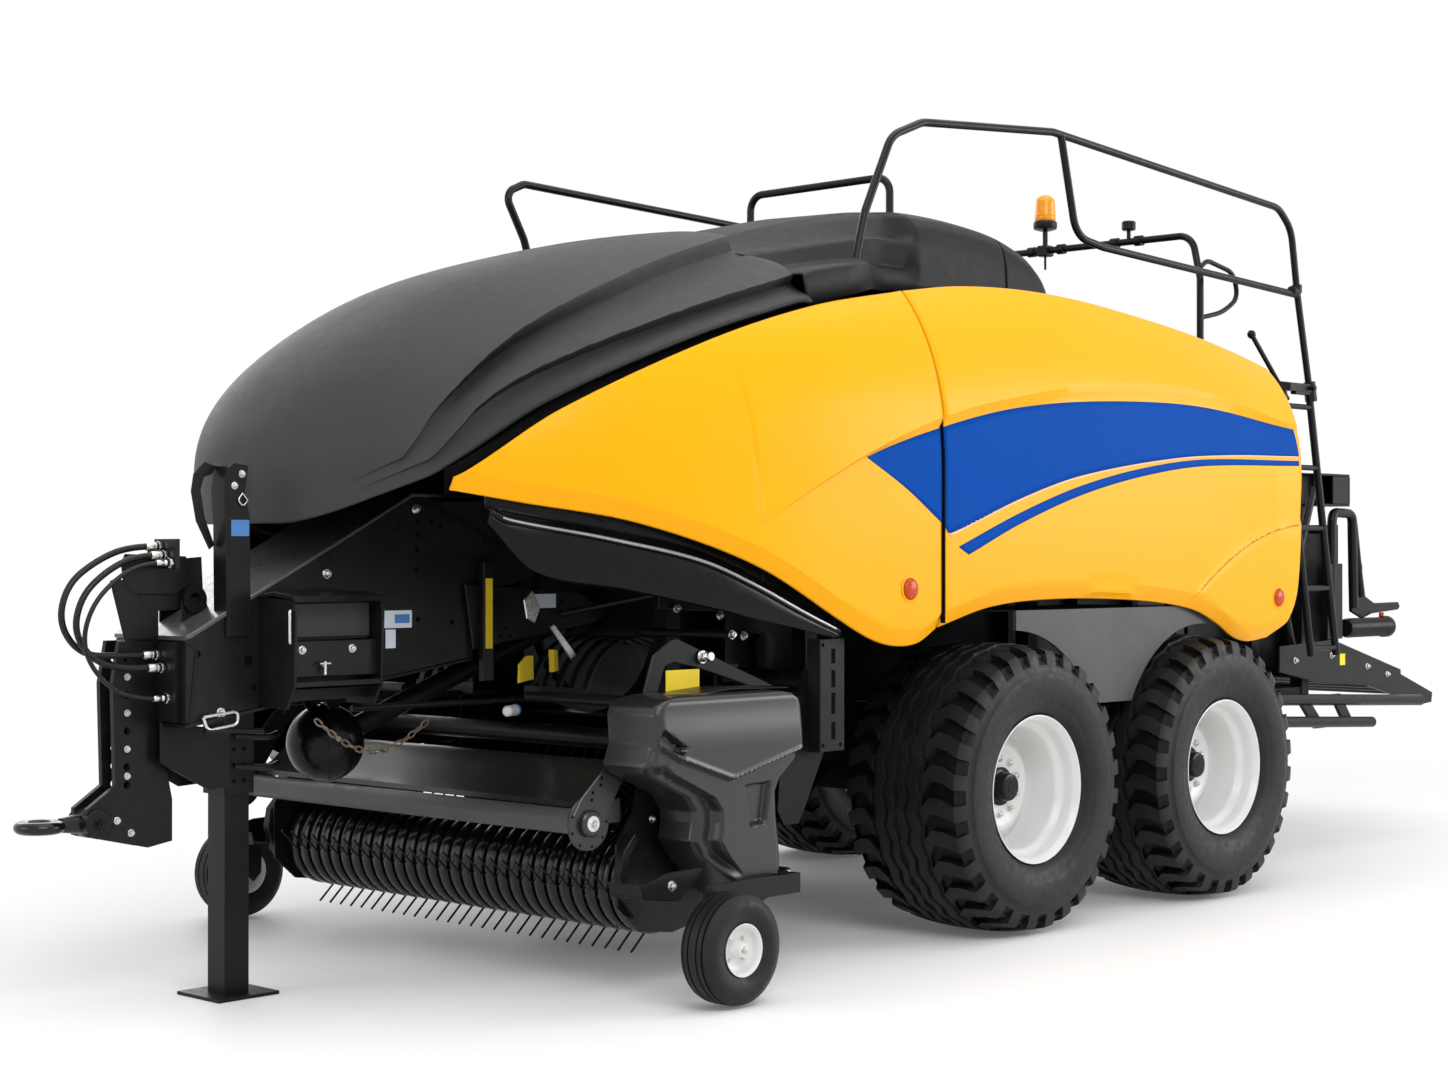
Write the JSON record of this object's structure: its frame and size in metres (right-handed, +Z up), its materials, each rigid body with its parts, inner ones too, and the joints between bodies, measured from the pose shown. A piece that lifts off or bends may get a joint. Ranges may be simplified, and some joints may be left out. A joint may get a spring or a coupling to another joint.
{
  "type": "large square baler",
  "caption": "Towed farm machine that packs hay or straw into large square bales, with a hood, side panels, pickup, tandem wheels, drawbar and tail chute.",
  "frame": {"origin": "on the ground, in the middle of the machine's length and width", "axes": "+X forward to the tow eye, +Y to the machine's left, +Z up"},
  "size_m": [8.795, 3, 3.3865],
  "materials": {
    "black_frame": "satin black paint on steel",
    "black_cover": "grained black plastic",
    "yellow_panel": "gloss warm yellow",
    "grey_plastic": "grey moulded plastic",
    "tyre_rubber": "black rubber",
    "rim_paint": "off-white paint",
    "bare_steel": "machined steel",
    "hose_rubber": "black hose rubber",
    "amber_lens": "amber lens on a black stem"
  },
  "bodies": {
    "chassis": {"axles": "black_frame", "bale_chamber": "black_frame", "beacon": "amber_lens", "chute_hinge": "black_frame", "deck": "black_frame", "drawbar": "black_frame", "driveline_guard": "black_frame", "feeder_duct": "black_frame", "fender_liners": "black_cover", "gearbox": "black_frame", "handrails": "black_frame", "hitch_plates": "black_frame", "hose_1": "hose_rubber", "hose_2": "hose_rubber", "hose_3": "hose_rubber", "hose_post": "black_frame", "jack_sleeve": "black_frame", "ladder": "black_frame", "leaf_springs": "black_frame", "main_frame": "black_frame", "panel_arms": "yellow_panel", "pickup_hangers": "black_frame", "tension_cylinders": "black_frame", "tension_frame": "black_frame", "toolbox": "black_frame", "top_cover_front": "black_cover", "top_cover_rear": "black_cover", "tow_eye": "black_frame", "twine_boxes": "black_frame", "wheel_fenders": "grey_plastic"},
    "wheel_front_left": {"tyre_front_left": "tyre_rubber", "rim_front_left": "rim_paint"},
    "wheel_front_right": {"tyre_front_right": "tyre_rubber", "rim_front_right": "rim_paint"},
    "wheel_rear_left": {"tyre_rear_left": "tyre_rubber", "rim_rear_left": "rim_paint"},
    "wheel_rear_right": {"tyre_rear_right": "tyre_rubber", "rim_rear_right": "rim_paint"},
    "pickup": {"pickup_frame": "black_frame", "pickup_shields": "black_cover", "pickup_strippers": "black_frame"},
    "pickup_reel": {"pickup_reel": "black_frame"},
    "gauge_wheel_left": {"gauge_tyre_left": "tyre_rubber", "gauge_rim_left": "rim_paint"},
    "gauge_wheel_right": {"gauge_tyre_right": "tyre_rubber", "gauge_rim_right": "rim_paint"},
    "windguard": {"windguard": "black_frame"},
    "crop_roller": {"crop_roller": "black_frame"},
    "feed_rotor": {"feed_rotor": "black_frame"},
    "flywheel": {"flywheel": "bare_steel"},
    "driveline": {"driveline": "bare_steel"},
    "needle_yoke": {"needle_yoke": "black_frame"},
    "hood": {"hood": "black_cover"},
    "panel_front_left": {"panel_front_left": "yellow_panel"},
    "panel_front_right": {"panel_front_right": "yellow_panel"},
    "panel_rear_left": {"panel_rear_left": "yellow_panel"},
    "panel_rear_right": {"panel_rear_right": "yellow_panel"},
    "jack_leg": {"jack_leg": "black_frame"},
    "bale_chute": {"bale_chute": "black_frame"}
  },
  "joints": [
    {"name": "wheel_front_left_spin", "type": "hinge", "parent": "chassis", "child": "wheel_front_left", "pos_m": [0.6075, 1.025, 0.585], "axis": [0, 1, 0], "continuous": true},
    {"name": "wheel_front_right_spin", "type": "hinge", "parent": "chassis", "child": "wheel_front_right", "pos_m": [0.6075, -1.025, 0.585], "axis": [0, 1, 0], "continuous": true},
    {"name": "wheel_rear_left_spin", "type": "hinge", "parent": "chassis", "child": "wheel_rear_left", "pos_m": [-0.7925, 1.025, 0.585], "axis": [0, 1, 0], "continuous": true},
    {"name": "wheel_rear_right_spin", "type": "hinge", "parent": "chassis", "child": "wheel_rear_right", "pos_m": [-0.7925, -1.025, 0.585], "axis": [0, 1, 0], "continuous": true},
    {"name": "pickup_lift", "type": "hinge", "parent": "chassis", "child": "pickup", "pos_m": [1.8075, 0, 0.6], "axis": [0, -1, 0], "range_deg": [0, 8]},
    {"name": "reel_spin", "type": "hinge", "parent": "pickup", "child": "pickup_reel", "pos_m": [2.4575, 0, 0.365], "axis": [0, 1, 0], "continuous": true},
    {"name": "gauge_wheel_left_spin", "type": "hinge", "parent": "pickup", "child": "gauge_wheel_left", "pos_m": [2.5475, 1.425, 0.198], "axis": [0, 1, 0], "continuous": true},
    {"name": "gauge_wheel_right_spin", "type": "hinge", "parent": "pickup", "child": "gauge_wheel_right", "pos_m": [2.5475, -1.425, 0.198], "axis": [0, 1, 0], "continuous": true},
    {"name": "windguard_float", "type": "hinge", "parent": "pickup", "child": "windguard", "pos_m": [2.4075, 0, 0.905], "axis": [0, -1, 0], "range_deg": [0, 12]},
    {"name": "crop_roller_spin", "type": "hinge", "parent": "windguard", "child": "crop_roller", "pos_m": [2.8225, 0, 0.61], "axis": [0, 1, 0], "continuous": true},
    {"name": "rotor_spin", "type": "hinge", "parent": "chassis", "child": "feed_rotor", "pos_m": [1.8075, 0, 0.6], "axis": [0, 1, 0], "continuous": true},
    {"name": "flywheel_spin", "type": "hinge", "parent": "chassis", "child": "flywheel", "pos_m": [1.8575, 0, 1.3], "axis": [1, 0, 0], "continuous": true},
    {"name": "driveline_spin", "type": "hinge", "parent": "chassis", "child": "driveline", "pos_m": [1.9375, 0, 1.3], "axis": [0.9391, 0, -0.3436], "continuous": true},
    {"name": "needle_swing", "type": "hinge", "parent": "chassis", "child": "needle_yoke", "pos_m": [1.3075, 0, 1.15], "axis": [0, 1, 0], "range_deg": [0, 72]},
    {"name": "hood_lift", "type": "hinge", "parent": "chassis", "child": "hood", "pos_m": [1.6175, 0, 2.95], "axis": [0, -1, 0], "range_deg": [0, 50]},
    {"name": "panel_front_left_lift", "type": "hinge", "parent": "chassis", "child": "panel_front_left", "pos_m": [1.1275, 1.052, 2.608], "axis": [0.9751, 0, -0.222], "range_deg": [0, 75]},
    {"name": "panel_rear_left_lift", "type": "hinge", "parent": "chassis", "child": "panel_rear_left", "pos_m": [1.1275, 1.058, 2.662], "axis": [0.9997, 0, 0.0228], "range_deg": [0, 75]},
    {"name": "panel_front_right_lift", "type": "hinge", "parent": "chassis", "child": "panel_front_right", "pos_m": [1.1275, -1.052, 2.608], "axis": [-0.9751, 0, 0.222], "range_deg": [0, 75]},
    {"name": "panel_rear_right_lift", "type": "hinge", "parent": "chassis", "child": "panel_rear_right", "pos_m": [1.1275, -1.058, 2.662], "axis": [-0.9997, 0, -0.0228], "range_deg": [0, 75]},
    {"name": "jack_slide", "type": "slide", "parent": "chassis", "child": "jack_leg", "axis": [0, 0, 1], "range_m": [0, 0.42]},
    {"name": "chute_fold", "type": "hinge", "parent": "chassis", "child": "bale_chute", "pos_m": [-3.4325, 0, 0.88], "axis": [0, 1, 0], "range_deg": [0, 80]}
  ],
  "couplings": [
    {"joint": "driveline_spin", "follows": "flywheel_spin", "ratio": 1}
  ]
}
